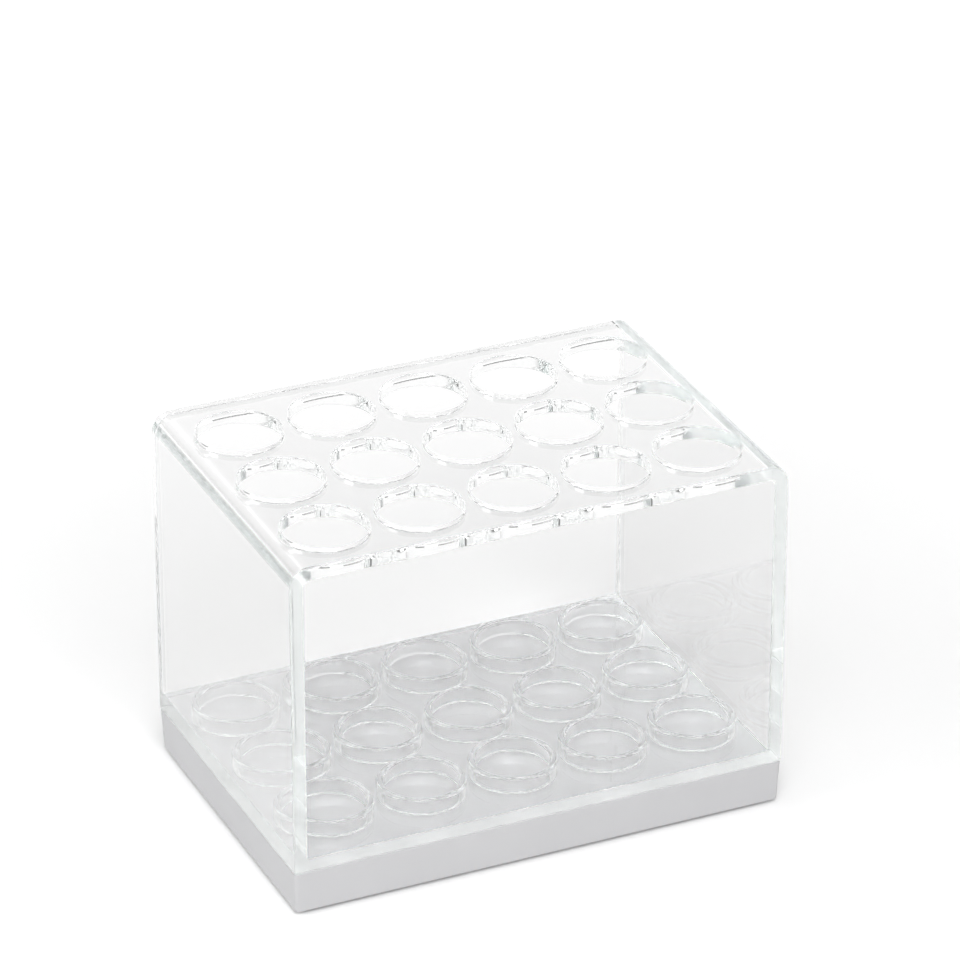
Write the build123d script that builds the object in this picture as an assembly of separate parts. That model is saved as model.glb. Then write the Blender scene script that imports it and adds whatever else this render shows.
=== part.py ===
"""Makeup organizer: a clear tower with a grid of holes over ring sockets, standing on a white base.

Millimetres, +Z up, +X to the right and +Y to the rear seen from the front. The origin is on the
surface that the feet stand on, under the middle of the footprint.
"""

from build123d import *
import os

# Grid of holes in the top plate
columns = 5
row_names = ("front", "middle", "rear")
hole_diameter = 23.5
hole_gap_x = 3.5        # plate left between two holes of a row
hole_gap_y = 5.9        # plate left between two holes of a column
hole_to_wall = 2.25     # inner face of a wall to the nearest hole
hole_to_edge = 7.35     # open front or rear edge to the nearest hole

# Clear sheet of the cover and the floor plate
sheet = 4.0
cover_height = 87.5     # floor plate to the top of the cover
bend_inner_radius = 1.5
edge_round = 0.5        # polished edges along the open front and rear
rim_bevel = 0.5         # eased rims of the holes

# Ring sockets on the floor plate
socket_overlap = 0.45   # how far a socket reaches out past the hole above it, all round
socket_wall = 2.0
socket_height = 4.4
socket_rim_round = 0.8

# White base
base_height = 12.5
base_lean = 0.55        # how far each side comes in from the top to the bottom
base_corner_radius = 1.2
base_top_round = 0.5
base_bottom_bevel = 0.5

# Bumper feet
foot_diameter = 12.0
foot_thickness = 2.2
foot_seat_depth = 1.2   # depth of the recess that a foot sits in
foot_inset = 9.0        # side of the base at the bottom to the rim of a foot
foot_clearance = 0.2    # round the foot in its recess
foot_round = 0.7

# Sizes that follow from those above
rows = len(row_names)
pitch_x = hole_diameter + hole_gap_x
pitch_y = hole_diameter + hole_gap_y
width = (columns - 1) * pitch_x + hole_diameter + 2 * (hole_to_wall + sheet)
depth = (rows - 1) * pitch_y + hole_diameter + 2 * hole_to_edge
bend_outer_radius = bend_inner_radius + sheet
socket_outer_radius = hole_diameter / 2 + socket_overlap
socket_bore_radius = socket_outer_radius - socket_wall
foot_pitch_x = width - 2 * (base_lean + foot_inset) - foot_diameter
foot_pitch_y = depth - 2 * (base_lean + foot_inset) - foot_diameter
base_bottom = foot_thickness - foot_seat_depth
base_top = base_bottom + base_height
floor_top = base_top + sheet
cover_top = floor_top + cover_height


def make_base():
    """White plinth: rounded plan, sides that lean in downwards, soft top edge, four foot recesses."""
    outlines = [
        (base_bottom, base_lean + base_bottom_bevel),
        (base_bottom + base_bottom_bevel, base_lean),
        (base_top, 0),
    ]
    with BuildPart() as base:
        for level, inset in outlines:
            with BuildSketch(Plane.XY.offset(level)):
                RectangleRounded(width - 2 * inset, depth - 2 * inset, base_corner_radius)
        loft(ruled=True)
        fillet(base.faces().sort_by(Axis.Z)[-1].edges(), base_top_round)
        with BuildSketch(Plane.XY.offset(base_bottom)):
            with GridLocations(foot_pitch_x, foot_pitch_y, 2, 2):
                Circle(foot_diameter / 2 + foot_clearance)
        extrude(amount=foot_seat_depth, mode=Mode.SUBTRACT)
    return base.part


def make_feet():
    """Four round bumper feet, each named for the corner that it stands under."""
    corners = ("front_left", "rear_left", "front_right", "rear_right")
    places = GridLocations(foot_pitch_x, foot_pitch_y, 2, 2).locations
    with BuildPart() as foot:
        Cylinder(foot_diameter / 2, foot_thickness, align=(Align.CENTER, Align.CENTER, Align.MIN))
        fillet(foot.edges().sort_by(Axis.Z)[0], foot_round)
    return {f"base_foot_{corner}": place * foot.part for corner, place in zip(corners, places)}


def make_floor_plate():
    """Clear plate on the base that carries the walls and the sockets, with polished edges."""
    with BuildPart() as plate:
        with Locations((0, 0, base_top)):
            Box(width, depth, sheet, align=(Align.CENTER, Align.CENTER, Align.MIN))
        fillet(plate.edges().filter_by(Axis.Z), edge_round)
    return plate.part


def arch(span, height, corner_radius):
    """Upright rectangle with rounded upper corners, standing on its own origin."""
    with BuildSketch() as face:
        Rectangle(span, height, align=(Align.CENTER, Align.MIN))
        fillet(face.vertices().group_by(Axis.Y)[-1], corner_radius)
    return face.sketch


def make_cover():
    """Bent clear sheet: two walls and the top plate, with polished edges and the grid of eased holes."""
    with BuildPart() as cover:
        with BuildSketch(Plane.XZ.offset(-depth / 2)):
            with Locations((0, floor_top)):
                add(arch(width, cover_height, bend_outer_radius))
                add(arch(width - 2 * sheet, cover_height - sheet, bend_inner_radius), mode=Mode.SUBTRACT)
        extrude(amount=depth)
        wall_feet = cover.faces().group_by(Axis.Z)[0].edges()
        fillet(cover.faces().filter_by(Axis.Y).edges() - wall_feet, edge_round)
        with BuildSketch(Plane.XY.offset(cover_top)):
            with GridLocations(pitch_x, pitch_y, columns, rows):
                Circle(hole_diameter / 2)
        extrude(amount=-2 * sheet, mode=Mode.SUBTRACT)
        rims = cover.edges(Select.LAST).filter_by(GeomType.CIRCLE)
        chamfer(rims, rim_bevel)
    return cover.part


def make_sockets():
    """One low ring with a rounded rim on the floor plate under each hole, named by row and column."""
    with BuildPart() as ring:
        with BuildSketch(Plane.XZ) as section:
            with Locations((socket_bore_radius, 0)):
                Rectangle(socket_wall, socket_height, align=(Align.MIN, Align.MIN))
            fillet(section.vertices().group_by(Axis.Y)[-1], socket_rim_round)
        revolve(axis=Axis.Z)
    names = [f"socket_ring_{row}_{column + 1}" for column in range(columns) for row in row_names]
    places = GridLocations(pitch_x, pitch_y, columns, rows).locations
    return {name: Pos(0, 0, floor_top) * place * ring.part for name, place in zip(names, places)}


def write_parts(parts):
    """Write each piece to a file of its own name."""
    os.makedirs("parts", exist_ok=True)
    for name, piece in parts.items():
        export_step(piece, f"parts/{name}.step")


if __name__ == "__main__":
    write_parts({
        "white_base": make_base(),
        **make_feet(),
        "clear_floor_plate": make_floor_plate(),
        "clear_cover": make_cover(),
        **make_sockets(),
    })
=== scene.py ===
"""Looks of a clear make-up organizer: a perforated cover over ring sockets, standing on a white base.

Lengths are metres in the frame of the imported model: +X right, +Y to the rear, +Z up, the table at z = 0.
"""

import logging
import math
from dataclasses import dataclass, field
from enum import Enum
from typing import Mapping, Sequence, Union

import bmesh
import bpy
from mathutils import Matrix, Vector


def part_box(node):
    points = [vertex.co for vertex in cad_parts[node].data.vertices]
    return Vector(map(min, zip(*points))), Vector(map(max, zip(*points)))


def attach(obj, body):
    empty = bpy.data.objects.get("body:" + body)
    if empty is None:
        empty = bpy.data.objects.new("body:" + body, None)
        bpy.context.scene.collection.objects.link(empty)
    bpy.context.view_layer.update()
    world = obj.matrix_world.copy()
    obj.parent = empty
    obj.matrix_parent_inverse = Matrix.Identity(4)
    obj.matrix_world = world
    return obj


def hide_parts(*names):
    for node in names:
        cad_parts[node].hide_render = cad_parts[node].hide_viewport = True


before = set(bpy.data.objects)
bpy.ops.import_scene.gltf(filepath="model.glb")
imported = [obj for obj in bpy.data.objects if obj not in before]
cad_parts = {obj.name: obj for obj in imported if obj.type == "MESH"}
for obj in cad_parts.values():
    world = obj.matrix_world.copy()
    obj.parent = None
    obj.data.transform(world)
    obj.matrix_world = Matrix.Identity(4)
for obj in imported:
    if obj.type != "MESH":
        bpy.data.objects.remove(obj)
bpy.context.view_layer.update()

log = logging.getLogger("organizer")
MM = 0.001
NOISE_MEAN = 0.5

Colour = tuple[float, float, float]
Place = tuple[float, float, float]
Point = tuple[float, float]
Plug = Union["Signal", bpy.types.NodeSocket, bpy.types.ID, float, int, bool, str, Sequence[float]]


class Body(Enum):
    """The two bodies that part when the tower is lifted off."""

    BASE = "base"
    TOWER = "tower"


class Slot(Enum):
    """Material slots of the record."""

    CLEAR = "clear_acrylic"
    WHITE = "white_plastic"
    RUBBER = "foot_rubber"


class Row(Enum):
    """Rows of ring sockets, from the open front to the open rear."""

    FRONT = "front"
    MIDDLE = "middle"
    REAR = "rear"


class Corner(Enum):
    """Corners of the base that a bumper foot stands under."""

    FRONT_LEFT = "front_left"
    FRONT_RIGHT = "front_right"
    REAR_LEFT = "rear_left"
    REAR_RIGHT = "rear_right"


class GridUse(Enum):
    """How a grid of turned shapes meets the sheet that it is given."""

    JOIN = "UNION"
    CUT = "DIFFERENCE"


class Signal:
    """An output socket whose arithmetic adds Math nodes to its tree."""

    def __init__(self, board: "NodeBoard", socket: bpy.types.NodeSocket) -> None:
        """Wrap a socket of the board's tree."""
        self.board = board
        self.socket = socket

    def __add__(self, other: Plug) -> "Signal":
        """Sum of two values."""
        return self.board.math("ADD", self, other)

    def __sub__(self, other: Plug) -> "Signal":
        """This value less another."""
        return self.board.math("SUBTRACT", self, other)

    def __rsub__(self, other: Plug) -> "Signal":
        """Another value less this one."""
        return self.board.math("SUBTRACT", other, self)

    def __mul__(self, other: Plug) -> "Signal":
        """Product of two values."""
        return self.board.math("MULTIPLY", self, other)

    __radd__ = __add__
    __rmul__ = __mul__


class NodeBoard:
    """Adds nodes to one node tree, with their settings first and their sockets after."""

    def __init__(self, tree: bpy.types.NodeTree) -> None:
        """Start from an empty tree."""
        self.tree = tree
        tree.nodes.clear()

    def node(
        self,
        kind: str,
        settings: Mapping[str, object] | None = None,
        sockets: Mapping[Union[str, int], Plug] | None = None,
    ) -> bpy.types.Node:
        """Add one node.

        Args:
            kind: Blender's type name of the node.
            settings: properties to set before any socket; "stops" lists a ramp's places and greys.
            sockets: inputs by name or number, each a value or something to link.

        Returns:
            The new node.
        """
        made = self.tree.nodes.new(kind)
        for name, value in (settings or {}).items():
            if name == "stops":
                self._set_stops(made.color_ramp, value)
            else:
                setattr(made, name, value)
        for key, value in (sockets or {}).items():
            self.plug(made.inputs[key], value)
        return made

    def signal(
        self,
        kind: str,
        settings: Mapping[str, object] | None = None,
        sockets: Mapping[Union[str, int], Plug] | None = None,
        output: Union[str, int] = 0,
    ) -> Signal:
        """Add one node and wrap one of its outputs.

        Args:
            kind: Blender's type name of the node.
            settings: as for node.
            sockets: as for node.
            output: name or number of the output to wrap.

        Returns:
            The output as a signal.
        """
        return Signal(self, self.node(kind, settings, sockets).outputs[output])

    def plug(self, target: bpy.types.NodeSocket, value: Plug) -> None:
        """Link a signal or socket to an input, or set the input's own value.

        Args:
            target: the input socket.
            value: a signal, an output socket or a plain value.
        """
        if isinstance(value, Signal):
            self.tree.links.new(value.socket, target)
        elif isinstance(value, bpy.types.NodeSocket):
            self.tree.links.new(value, target)
        else:
            target.default_value = value

    def math(self, operation: str, first: Plug, second: Plug) -> Signal:
        """One Math node on two values."""
        return self.signal("ShaderNodeMath", {"operation": operation}, {0: first, 1: second})

    @staticmethod
    def _set_stops(ramp: bpy.types.ColorRamp, stops: Sequence[Point]) -> None:
        """Give a ramp its stops.

        Args:
            ramp: the ramp of a Color Ramp node, which starts with two stops.
            stops: place and grey level of each stop, in order.
        """
        while len(ramp.elements) < len(stops):
            ramp.elements.new(1.0)
        for element, (place, grey) in zip(ramp.elements, stops):
            element.position = place
            element.color = (grey, grey, grey, 1.0)


class MaterialBoard(NodeBoard):
    """The node board of one new material, with its output node."""

    def __init__(self, name: str) -> None:
        """Make the material and its empty board."""
        self.material = bpy.data.materials.new(name)
        self.material.use_nodes = True
        super().__init__(self.material.node_tree)
        self.output = self.node("ShaderNodeOutputMaterial")

    def place(self) -> Signal:
        """Object coordinates, in metres."""
        return self.signal("ShaderNodeTexCoord", output="Object")

    def along(self, axis: str) -> Signal:
        """Object coordinate along one axis, in metres."""
        return self.signal("ShaderNodeSeparateXYZ", sockets={0: self.place()}, output=axis)

    def noise(self, size: float, detail: float = 2.0, stretch: Sequence[float] = (1, 1, 1)) -> Signal:
        """Noise that varies about NOISE_MEAN over the piece.

        Args:
            size: length of one lump, in metres.
            detail: octaves of finer lumps.
            stretch: how much longer the lumps are along each axis.

        Returns:
            The noise as a value.
        """
        scale = [1.0 / along for along in stretch]
        mapped = self.signal("ShaderNodeMapping", sockets={"Vector": self.place(), "Scale": scale})
        sockets = {"Vector": mapped, "Scale": 1.0 / size, "Detail": detail}
        return self.signal("ShaderNodeTexNoise", sockets=sockets)

    def above(self, value: Signal, start: float, end: float) -> Signal:
        """Smooth mask that rises from 0 at start to 1 at end."""
        sockets = {"Value": value, "From Min": start, "From Max": end}
        return self.signal("ShaderNodeMapRange", {"interpolation_type": "SMOOTHSTEP"}, sockets)

    def relief(self, height: Signal, depth: float) -> Signal:
        """Surface normal bent by a height of 0 to 1 that stands for a depth in metres."""
        sockets = {"Height": height, "Distance": depth, "Strength": 1.0}
        return self.signal("ShaderNodeBump", sockets=sockets)

    def blend(self, first: Colour, second: Colour, share: Signal) -> Signal:
        """Mix of two colours by a share of the second."""
        settings = {"data_type": "RGBA"}
        sockets = {0: share, 6: (*first, 1.0), 7: (*second, 1.0)}
        return self.signal("ShaderNodeMix", settings, sockets, output=2)

    def finish(self, shader: bpy.types.Node, volume: bpy.types.Node | None = None) -> bpy.types.Material:
        """Link a shader, and a volume if there is one, to the output.

        Args:
            shader: node whose first output is the surface.
            volume: node whose first output is the volume.

        Returns:
            The finished material.
        """
        self.plug(self.output.inputs["Surface"], shader.outputs[0])
        if volume is not None:
            self.plug(self.output.inputs["Volume"], volume.outputs[0])
        return self.material


@dataclass(frozen=True)
class ClearAcrylic:
    """Clear sheet, polished above a matt underside, with a faint cool tint that gathers along its edges."""

    ior: float = 1.49
    tint: Colour = (0.74, 0.90, 0.85)
    tint_density: float = 1.6
    wave_size: float = 38 * MM
    wave_depth: float = 0.006 * MM
    smear_size: float = 16 * MM
    smear_octaves: float = 4.0
    smear_stretch: Sequence[float] = (1, 1, 3)
    smear_start: float = 0.55
    smear_end: float = 0.75
    smear_roughness: float = 0.012
    bend_reach: float = 4.5 * MM
    bend_drop: float = 6.5 * MM
    bend_fade: float = 2.0 * MM
    bend_haze: float = 0.15
    underside_start: float = 0.08 * MM
    underside_end: float = 0.18 * MM
    underside_haze: float = 0.45

    def underside(self, board: MaterialBoard) -> Signal:
        """Mask of the matt underside of the floor plate.

        Args:
            board: where the nodes go.

        Returns:
            1 on the underside and 0 above it.
        """
        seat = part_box("clear_floor_plate")[0].z
        start, end = seat + self.underside_start, seat + self.underside_end
        return 1.0 - board.above(board.along("Z"), start, end)

    def bends(self, board: MaterialBoard) -> Signal:
        """Mask of the two bends between the walls and the top plate.

        Args:
            board: where the nodes go.

        Returns:
            1 along the outside of a bend and 0 on the flats.
        """
        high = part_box("clear_cover")[1]
        start, rise = high.x - self.bend_reach, high.z - self.bend_drop
        side = board.math("ABSOLUTE", board.along("X"), 0.0)
        beside = board.above(side, start, start + self.bend_fade)
        return beside * board.above(board.along("Z"), rise, rise + self.bend_fade)

    def material(self) -> bpy.types.Material:
        """Build the material.

        Returns:
            Clear plastic with slow waves, faint wiped smears, slightly hazy bends and a matt underside.
        """
        board = MaterialBoard("clear_acrylic_sheet")
        wiped = board.noise(self.smear_size, self.smear_octaves, self.smear_stretch)
        smears = board.above(wiped, self.smear_start, self.smear_end)
        haze = self.bends(board) * self.bend_haze + self.underside(board) * self.underside_haze
        shader = board.node("ShaderNodeBsdfPrincipled", sockets={
            "Base Color": (1.0, 1.0, 1.0, 1.0),
            "Roughness": smears * self.smear_roughness + haze,
            "IOR": self.ior,
            "Transmission Weight": 1.0,
            "Normal": board.relief(board.noise(self.wave_size), self.wave_depth),
        })
        sockets = {"Color": (*self.tint, 1.0), "Density": self.tint_density}
        return board.finish(shader, board.node("ShaderNodeVolumeAbsorption", sockets=sockets))


@dataclass(frozen=True)
class WhiteMoulding:
    """Satin white plastic with a fine moulded grain and slow changes of shade."""

    light: Colour = (0.568, 0.568, 0.578)
    dark: Colour = (0.528, 0.528, 0.540)
    shade_size: float = 30 * MM
    roughness: float = 0.42
    roughness_spread: float = 0.12
    grain_size: float = 0.35 * MM
    grain_depth: float = 0.006 * MM
    octaves: float = 3.0

    def material(self) -> bpy.types.Material:
        """Build the material.

        Returns:
            White plastic whose colour, gloss and grain vary a little.
        """
        board = MaterialBoard("white_base_moulding")
        grain = board.noise(self.grain_size, self.octaves)
        shade = board.noise(self.shade_size, self.octaves)
        shader = board.node("ShaderNodeBsdfPrincipled", sockets={
            "Base Color": board.blend(self.light, self.dark, shade),
            "Roughness": (shade - NOISE_MEAN) * self.roughness_spread + self.roughness,
            "Normal": board.relief(grain, self.grain_depth),
        })
        return board.finish(shader)


@dataclass(frozen=True)
class FootRubber:
    """Dull grey rubber with a mealy surface."""

    light: Colour = (0.22, 0.22, 0.23)
    dark: Colour = (0.13, 0.13, 0.14)
    speck_size: float = 0.5 * MM
    speck_octaves: float = 4.0
    speck_start: float = 0.35
    speck_end: float = 0.65
    roughness: float = 0.75
    roughness_spread: float = 0.2
    pit_depth: float = 0.02 * MM

    def material(self) -> bpy.types.Material:
        """Build the material.

        Returns:
            Matte rubber with specks and pits.
        """
        board = MaterialBoard("bumper_rubber")
        specks = board.noise(self.speck_size, self.speck_octaves)
        darkened = board.above(specks, self.speck_start, self.speck_end)
        shader = board.node("ShaderNodeBsdfPrincipled", sockets={
            "Base Color": board.blend(self.light, self.dark, darkened),
            "Roughness": (specks - NOISE_MEAN) * self.roughness_spread + self.roughness,
            "Normal": board.relief(specks, self.pit_depth),
        })
        return board.finish(shader)


@dataclass(frozen=True)
class PaleFloor:
    """Pale sweep that takes the object's shadow near it and fades to a white background further off."""

    colour: Colour = (0.90, 0.90, 0.90)
    roughness: float = 0.9
    near_glow: float = 0.08
    far_glow: float = 0.50
    fade_start: float = 0.12
    fade_end: float = 0.60

    def material(self) -> bpy.types.Material:
        """Build the material.

        Returns:
            Matte floor with a glow, for the rays that show the background, that grows with distance.
        """
        board = MaterialBoard("pale_floor")
        settings = {"operation": "LENGTH"}
        reach = board.signal("ShaderNodeVectorMath", settings, {0: board.place()}, output="Value")
        fade = board.above(reach, self.fade_start, self.fade_end) * self.far_glow
        shader = board.node("ShaderNodeBsdfPrincipled", sockets={
            "Base Color": (*self.colour, 1.0),
            "Roughness": self.roughness,
            "Specular IOR Level": 0.0,
            "Emission Color": shows_background(board, fade + self.near_glow, fade),
            "Emission Strength": 1.0,
        })
        return board.finish(shader)


def shows_background(board: NodeBoard, straight: Plug, in_clear: Plug) -> Signal:
    """Weight of the rays that show the background.

    Args:
        board: where the nodes go.
        straight: weight of the rays that come straight from the camera.
        in_clear: weight of the rays that a clear or glossy piece passes on.

    Returns:
        The weight of a ray, which is 0 for the rays that only light something.
    """
    rays = board.node("ShaderNodeLightPath")
    camera, glossy, through = (
        Signal(board, rays.outputs[name])
        for name in ("Is Camera Ray", "Is Glossy Ray", "Is Transmission Ray")
    )
    return camera * straight + board.math("MAXIMUM", glossy, through) * in_clear


def arc(centre: Point, radius: float, start: float, end: float, steps: int) -> list[Point]:
    """Points on an arc.

    Args:
        centre: centre of the arc.
        radius: its radius.
        start: first angle, in degrees.
        end: last angle, in degrees.
        steps: how many chords it has.

    Returns:
        The steps + 1 points, both ends included.
    """
    angles = [math.radians(start + (end - start) * step / steps) for step in range(steps + 1)]
    return [(centre[0] + radius * math.cos(a), centre[1] + radius * math.sin(a)) for a in angles]


def loft(name: str, loops: Sequence[Sequence[Sequence[float]]], capped: bool) -> bpy.types.Object:
    """Skin over closed loops that all have as many points.

    Args:
        name: name of the new object.
        loops: points of each loop, in the order that the skin passes them.
        capped: close the first and last loop; otherwise the last loop joins the first.

    Returns:
        A mesh object with its faces outwards, not yet in the scene.
    """
    shape = bmesh.new()
    rings = [[shape.verts.new(point) for point in loop] for loop in loops]
    followers = rings[1:] if capped else rings[1:] + rings[:1]
    for ring, after in zip(rings, followers):
        for index, corner in enumerate(ring):
            previous = index - 1
            shape.faces.new((ring[previous], corner, after[index], after[previous]))
    if capped:
        shape.faces.new(rings[0])
        shape.faces.new(rings[-1])
    bmesh.ops.recalc_face_normals(shape, faces=shape.faces)
    mesh = bpy.data.meshes.new(name)
    shape.to_mesh(mesh)
    shape.free()
    return bpy.data.objects.new(name, mesh)


def turn(name: str, outline: Sequence[Point], sides: int, hollow: bool) -> bpy.types.Object:
    """Shape turned about the Z axis.

    Args:
        name: name of the new object.
        outline: radius and height of each point of the section.
        sides: facets round the axis.
        hollow: the section is a closed loop away from the axis; otherwise its ends are capped.

    Returns:
        A mesh object with its faces outwards, not yet in the scene.
    """
    angles = [math.tau * side / sides for side in range(sides)]
    loops = [[(r * math.cos(a), r * math.sin(a), z) for a in angles] for r, z in outline]
    return loft(name, loops, capped=not hollow)


class GridRecipe:
    """Geometry Nodes tree that joins a grid of turned shapes to a sheet or cuts it out of one."""

    SOCKETS = {
        "Turned Shape": "NodeSocketObject",
        "Columns": "NodeSocketInt",
        "Rows": "NodeSocketInt",
        "Column Pitch": "NodeSocketFloat",
        "Row Pitch": "NodeSocketFloat",
        "Level": "NodeSocketFloat",
        "Finish": "NodeSocketMaterial",
    }

    def __init__(self, use: GridUse) -> None:
        """Build the tree.

        Args:
            use: join the turned shapes to the sheet or cut them out of it.
        """
        self.tree = bpy.data.node_groups.new(f"grid_{use.name.lower()}", "GeometryNodeTree")
        self.tree.interface.new_socket("Geometry", in_out="INPUT", socket_type="NodeSocketGeometry")
        self.tree.interface.new_socket("Geometry", in_out="OUTPUT", socket_type="NodeSocketGeometry")
        self.keys = {
            name: self.tree.interface.new_socket(name, in_out="INPUT", socket_type=kind).identifier
            for name, kind in self.SOCKETS.items()
        }
        board = NodeBoard(self.tree)
        given = board.node("NodeGroupInput")
        size = {name: Signal(board, given.outputs[name]) for name in self.SOCKETS}
        points = board.signal("GeometryNodeMeshGrid", sockets={
            "Size X": (size["Columns"] - 1) * size["Column Pitch"],
            "Size Y": (size["Rows"] - 1) * size["Row Pitch"],
            "Vertices X": size["Columns"],
            "Vertices Y": size["Rows"],
        })
        raised = board.signal("GeometryNodeTransform", sockets={
            "Geometry": points,
            "Translation": board.signal("ShaderNodeCombineXYZ", sockets={"Z": size["Level"]}),
        })
        shape = board.signal(
            "GeometryNodeObjectInfo", sockets={"Object": size["Turned Shape"]}, output="Geometry"
        )
        copies = board.signal("GeometryNodeInstanceOnPoints", sockets={"Points": raised, "Instance": shape})
        solids = board.signal("GeometryNodeRealizeInstances", sockets={"Geometry": copies})
        met = board.node("GeometryNodeMeshBoolean", {"operation": use.value, "solver": "EXACT"})
        sheet_input = met.inputs["Mesh 1"] if use is GridUse.CUT else met.inputs["Mesh 2"]
        board.plug(sheet_input, given.outputs["Geometry"])
        board.plug(met.inputs["Mesh 2"], solids)
        result = board.signal("GeometryNodeRealizeInstances", sockets={"Geometry": met.outputs["Mesh"]})
        dressed = board.signal(
            "GeometryNodeSetMaterial", sockets={"Geometry": result, "Material": size["Finish"]}
        )
        board.node("NodeGroupOutput", sockets={"Geometry": dressed})

    def apply(self, obj: bpy.types.Object, values: Mapping[str, object]) -> None:
        """Add the tree to an object as a modifier.

        Args:
            obj: object that the tree starts from.
            values: a value for each named input.
        """
        modifier = obj.modifiers.new("grid", "NODES")
        modifier.node_group = self.tree
        for name, value in values.items():
            modifier[self.keys[name]] = value


def smooth(obj: bpy.types.Object, crease: float) -> None:
    """Give a mesh even shading on its flats and rounds.

    Args:
        obj: object in the scene, with no modifiers.
        crease: angle in degrees above which an edge stays sharp.
    """
    obj.data.shade_smooth()
    obj.data.set_sharp_from_angle(angle=math.radians(crease))
    weighting = obj.modifiers.new("weighted", "WEIGHTED_NORMAL")
    weighting.keep_sharp = True
    flatten(obj)


def flatten(obj: bpy.types.Object) -> None:
    """Replace an object's mesh by its evaluated one and drop its modifiers.

    Args:
        obj: object that is in the scene already or is put there.
    """
    if obj.name not in bpy.context.scene.collection.objects:
        bpy.context.scene.collection.objects.link(obj)
    depsgraph = bpy.context.evaluated_depsgraph_get()
    plain = bpy.data.meshes.new_from_object(
        obj.evaluated_get(depsgraph), preserve_all_data_layers=True, depsgraph=depsgraph
    )
    obj.modifiers.clear()
    obj.data = plain
    plain.name = obj.name


def deliver(obj: bpy.types.Object, body: Body, nodes: Sequence[str]) -> None:
    """Hand a finished piece to the frame.

    Args:
        obj: finished piece at the origin.
        body: body that it moves with.
        nodes: CAD nodes that it stands for.
    """
    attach(obj, body.value)
    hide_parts(*nodes)
    log.info("%s: %d faces, rides on %s", obj.name, len(obj.data.polygons), body.value)


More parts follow.
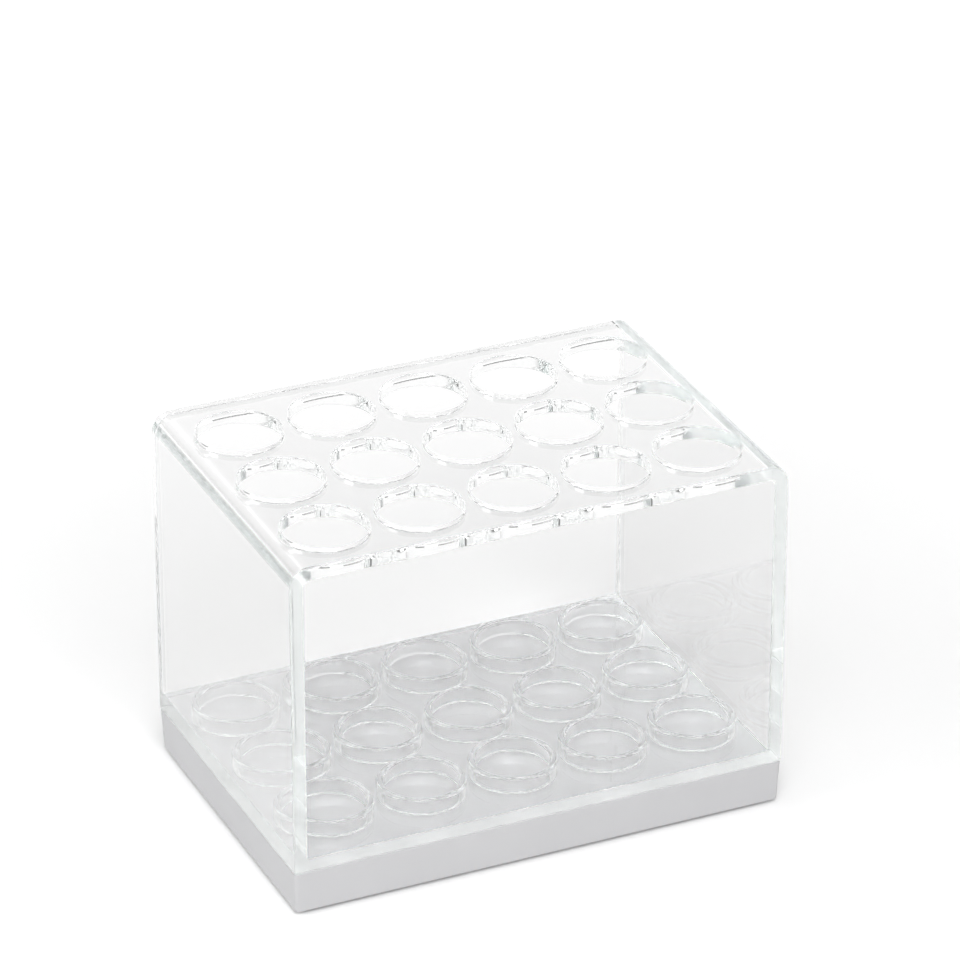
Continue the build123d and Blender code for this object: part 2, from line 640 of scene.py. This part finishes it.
@dataclass
class ClearTower:
    """Clear cover, floor plate and ring sockets, which lift off together."""

    finish: bpy.types.Material
    hole_diameter: float = 23.5 * MM
    bend_inner_radius: float = 1.5 * MM
    edge_round: float = 0.5 * MM
    plate_round: float = 0.3 * MM
    rim_round: float = 0.5 * MM
    rim_sweep: float = 78.0
    socket_wall: float = 2.0 * MM
    socket_round: float = 0.8 * MM
    seat_gap: float = 0.03 * MM
    bond_depth: float = 0.5 * MM
    bond_bead: float = 0.4 * MM
    bend_steps: int = 20
    edge_steps: int = 5
    rim_steps: int = 6
    sides: int = 128
    crease: float = 28.0
    columns: int = field(init=False)
    pitch: Point = field(init=False)
    sheet: float = field(init=False)

    def __post_init__(self) -> None:
        """Read the grid and the sheet thickness from the frame."""
        self.columns = sum(name.startswith(f"socket_ring_{Row.FRONT.value}_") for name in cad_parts)
        first = self.middle(self.ring(Row.FRONT, 1))
        self.pitch = (
            self.middle(self.ring(Row.FRONT, 2)).x - first.x,
            self.middle(self.ring(Row.MIDDLE, 1)).y - first.y,
        )
        low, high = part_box("clear_floor_plate")
        self.sheet = high.z - low.z

    @staticmethod
    def ring(row: Row, column: int) -> str:
        """Name of a ring socket's node."""
        return f"socket_ring_{row.value}_{column}"

    @staticmethod
    def middle(node: str) -> Vector:
        """Middle of a node's box."""
        low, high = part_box(node)
        return (low + high) / 2

    def grid(self, shape: bpy.types.Object, level: float) -> dict[str, object]:
        """Inputs that put a turned shape on the grid of holes.

        Args:
            shape: the turned shape.
            level: height of its own zero.

        Returns:
            A value for each input of a grid recipe.
        """
        return {
            "Turned Shape": shape,
            "Columns": self.columns,
            "Rows": len(Row),
            "Column Pitch": self.pitch[0],
            "Row Pitch": self.pitch[1],
            "Level": level,
            "Finish": self.finish,
        }

    def section(self, inset: float) -> list[Point]:
        """Section of the bent sheet, drawn in on both faces, with its feet sunk into the bond.

        Args:
            inset: how far each face of the sheet comes in.

        Returns:
            X and Z of the closed outline, from the left foot over the outside and back inside.
        """
        low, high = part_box("clear_cover")
        foot = low.z - self.bond_depth
        outline: list[Point] = []
        for offset, direction in ((inset, 1), (self.sheet - inset, -1)):
            reach, top = high.x - offset, high.z - offset
            radius = self.bend_inner_radius + self.sheet - offset
            right = arc((reach - radius, top - radius), radius, 90, 0, self.bend_steps)
            if direction > 0:
                right.append((reach, foot))
            else:
                toe = reach - self.bond_bead
                right += arc((toe, low.z + self.bond_bead), self.bond_bead, 0, -90, self.edge_steps)
                right.append((toe, foot))
            left = [(-x, z) for x, z in reversed(right)]
            outline += [*left, *right][::direction]
        return outline

    def make_cover(self) -> bpy.types.Object:
        """Bent sheet with rounded open edges and the grid of eased holes.

        Returns:
            The cover, with feet that reach into the floor plate.
        """
        low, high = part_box("clear_cover")
        stations = arc((low.y + self.edge_round, 0), self.edge_round, 180, 90, self.edge_steps)
        stations += [(-y, rise) for y, rise in reversed(stations)]
        loops = [
            [(x, y, z) for x, z in self.section(self.edge_round - rise)] for y, rise in stations
        ]
        cover = loft("clear_tower_shell", loops, capped=True)
        cutter = self.make_cutter()
        GridRecipe(GridUse.CUT).apply(cover, self.grid(cutter, high.z))
        flatten(cover)
        bpy.data.objects.remove(cutter)
        return cover

    def make_cutter(self) -> bpy.types.Object:
        """Cutter of one hole, flared so that it rounds both rims, with its zero at the top of the sheet.

        Returns:
            The cutter, which is in the scene until the holes are cut.
        """
        radius, rim = self.hole_diameter / 2, self.rim_round
        flare = arc((radius + rim, -rim), rim, 180, 180 - self.rim_sweep, self.rim_steps)
        slope = math.radians(90 - self.rim_sweep)
        lip = (flare[-1][0] + rim, flare[-1][1] + rim * math.tan(slope))
        upper = [*flare, lip]
        lower = [(r, -self.sheet - z) for r, z in reversed(upper)]
        cutter = turn("hole_cutter", lower + upper, self.sides, hollow=False)
        bpy.context.scene.collection.objects.link(cutter)
        return cutter

    def make_floor(self) -> bpy.types.Object:
        """Floor plate with polished edges and a bonded ring socket under each hole.

        Returns:
            The plate and its rings as one mesh.
        """
        low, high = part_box("clear_floor_plate")
        low.z += self.seat_gap
        shape = bmesh.new()
        bmesh.ops.create_cube(shape, size=1.0)
        for corner in shape.verts:
            corner.co = Vector(l if c < 0 else h for c, l, h in zip(corner.co, low, high))
        mesh = bpy.data.meshes.new("clear_floor_sockets")
        shape.to_mesh(mesh)
        shape.free()
        plate = bpy.data.objects.new("clear_floor_sockets", mesh)
        rounding = plate.modifiers.new("edges", "BEVEL")
        rounding.width = self.plate_round
        rounding.segments = self.edge_steps
        ring = self.make_ring()
        GridRecipe(GridUse.JOIN).apply(plate, self.grid(ring, high.z))
        flatten(plate)
        bpy.data.objects.remove(ring)
        return plate

    def make_ring(self) -> bpy.types.Object:
        """One ring socket with a rounded rim, its zero at the plate and its foot sunk into the bond.

        Returns:
            The ring, which is in the scene until the rings are joined.
        """
        low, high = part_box(self.ring(Row.FRONT, 1))
        outer, height = (high.x - low.x) / 2, high.z - low.z
        bore, rim = outer - self.socket_wall, self.socket_round
        outline = [
            (outer, -self.bond_depth),
            *arc((outer - rim, height - rim), rim, 0, 90, self.rim_steps),
            *arc((bore + rim, height - rim), rim, 90, 180, self.rim_steps),
            (bore, -self.bond_depth),
        ]
        ring = turn("socket_ring", outline, self.sides, hollow=True)
        bpy.context.scene.collection.objects.link(ring)
        return ring

    def bond(self, cover: bpy.types.Object, floor: bpy.types.Object) -> None:
        """Join the floor to the feet of the cover, so that light crosses the clear bond.

        Args:
            cover: the cover, which becomes the whole tower.
            floor: the plate with its rings, which is used up.
        """
        joint = cover.modifiers.new("bond", "BOOLEAN")
        joint.operation = GridUse.JOIN.value
        joint.solver = "EXACT"
        joint.object = floor
        flatten(cover)
        smooth(cover, self.crease)
        bpy.data.objects.remove(floor)

    def build(self) -> None:
        """Make the clear tower and hand it to the frame."""
        tower = self.make_cover()
        self.bond(tower, self.make_floor())
        rings = [self.ring(row, column + 1) for row in Row for column in range(self.columns)]
        deliver(tower, Body.TOWER, ["clear_cover", "clear_floor_plate", *rings])


@dataclass
class WhiteBase:
    """White base and its bumper feet, which keep their CAD shapes."""

    moulding: bpy.types.Material
    rubber: bpy.types.Material

    def dress(self, node: str, material: bpy.types.Material) -> None:
        """Give a CAD node its finish.

        Args:
            node: name of the node.
            material: its finish.
        """
        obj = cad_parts[node]
        for place in obj.material_slots:
            place.material = material
        log.info("%s: dressed in %s", node, material.name)

    def build(self) -> None:
        """Dress the base and its feet."""
        self.dress("white_base", self.moulding)
        for corner in Corner:
            self.dress(f"base_foot_{corner.value}", self.rubber)


@dataclass(frozen=True)
class Softbox:
    """Square soft lamp that faces the object."""

    name: str
    place: Place
    size: float
    watts: float

    def hang(self, target: Vector) -> None:
        """Put the lamp in the scene.

        Args:
            target: point that it faces.
        """
        data = bpy.data.lights.new(self.name, "AREA")
        data.size = self.size
        data.energy = self.watts
        lamp = bpy.data.objects.new(self.name, data)
        lamp.location = self.place
        lamp.rotation_euler = (target - lamp.location).to_track_quat("-Z", "Y").to_euler()
        bpy.context.scene.collection.objects.link(lamp)


@dataclass
class Studio:
    """Pale floor, soft light and the camera at the photograph's angle."""

    floor_finish: bpy.types.Material
    floor_size: float = 12.0
    azimuth: float = -24.16
    elevation: float = 29.25
    distance: float = 1.6
    orbit_height: float = 53.0 * MM
    aim_right: float = 3.30 * MM
    aim_height: float = 92.5 * MM
    frame_pixels: float = 960.0
    focal_pixels: float = 5880.7
    sensor: float = 36.0
    bounces: int = 160
    sky_strength: float = 0.5
    backdrop_side: Place = (0.29, 0.645, 0.707)
    backdrop_start: float = 0.75
    backdrop_full: float = 0.88
    backdrop_level: float = 1.0
    room_level: float = 0.2
    lamps: tuple[Softbox, ...] = (
        Softbox("key_softbox", (-0.40, -1.25, 1.54), 1.2, 26.5),
        Softbox("left_softbox", (-1.6, 0.2, 1.0), 0.8, 7.5),
    )

    def make_floor(self) -> None:
        """Level floor under the feet."""
        half = self.floor_size / 2
        corners = [(-half, -half, 0), (half, -half, 0), (half, half, 0), (-half, half, 0)]
        mesh = bpy.data.meshes.new("floor")
        mesh.from_pydata(corners, [], [(0, 1, 2, 3)])
        mesh.materials.append(self.floor_finish)
        floor = bpy.data.objects.new("floor", mesh)
        bpy.context.scene.collection.objects.link(floor)

    def make_world(self) -> None:
        """Even soft light, from a room that clear pieces show pale behind and overhead, dim elsewhere."""
        world = bpy.data.worlds.new("surround")
        world.use_nodes = True
        bpy.context.scene.world = world
        board = NodeBoard(world.node_tree)
        direction = board.signal("ShaderNodeTexCoord", output="Generated")
        settings = {"operation": "DOT_PRODUCT"}
        sockets = {0: direction, 1: self.backdrop_side}
        behind = board.signal("ShaderNodeVectorMath", settings, sockets, output="Value")
        room, backdrop = self.room_level, self.backdrop_level
        settings = {"stops": [
            (0.0, room), (self.backdrop_start, room), (self.backdrop_full, backdrop), (1.0, backdrop),
        ]}
        # The cosine runs from -1 to 1, the ramp from 0 to 1.
        shown = board.signal("ShaderNodeValToRGB", settings, {"Fac": behind * 0.5 + 0.5})
        white = (1.0, 1.0, 1.0, 1.0)
        lit = board.node("ShaderNodeBackground", sockets={"Color": white, "Strength": self.sky_strength})
        seen = board.node("ShaderNodeBackground", sockets={"Color": shown, "Strength": 1.0})
        share = shows_background(board, 1.0, 1.0)
        mixed = board.node("ShaderNodeMixShader", sockets={0: share, 1: lit.outputs[0], 2: seen.outputs[0]})
        board.node("ShaderNodeOutputWorld", sockets={"Surface": mixed.outputs[0]})

    def make_camera(self) -> None:
        """Camera where the photograph was taken from, with the photograph's framing."""
        turn_angle, tilt = math.radians(self.azimuth), math.radians(self.elevation)
        right = Vector((math.cos(turn_angle), math.sin(turn_angle), 0))
        back = Vector((
            math.sin(turn_angle) * math.cos(tilt), -math.cos(turn_angle) * math.cos(tilt), math.sin(tilt)
        ))
        data = bpy.data.cameras.new("camera")
        data.sensor_width = self.sensor
        data.lens = self.focal_pixels / self.frame_pixels * self.sensor
        data.clip_end = 2 * self.floor_size
        camera = bpy.data.objects.new("camera", data)
        camera.location = Vector((0, 0, self.orbit_height)) + back * self.distance
        aim = right * self.aim_right + Vector((0, 0, self.aim_height))
        camera.rotation_euler = (aim - camera.location).to_track_quat("-Z", "Y").to_euler()
        bpy.context.scene.collection.objects.link(camera)
        bpy.context.scene.camera = camera

    def build(self) -> None:
        """Set up the stage."""
        scene = bpy.context.scene
        scene.view_settings.view_transform = "Standard"
        scene.cycles.max_bounces = self.bounces
        scene.cycles.transmission_bounces = self.bounces
        scene.cycles.glossy_bounces = self.bounces
        scene.cycles.blur_glossy = 0.0
        self.make_floor()
        self.make_world()
        for lamp in self.lamps:
            lamp.hang(Vector((0, 0, self.orbit_height)))
        self.make_camera()
        log.info("stage: floor, surround, lamps and camera")


def main() -> None:
    """Build the object's pieces in order, then the stage."""
    logging.basicConfig(level=logging.INFO, format="%(name)s %(message)s")
    WhiteBase(WhiteMoulding().material(), FootRubber().material()).build()
    ClearTower(ClearAcrylic().material()).build()
    Studio(PaleFloor().material()).build()


if __name__ == "__main__":
    main()
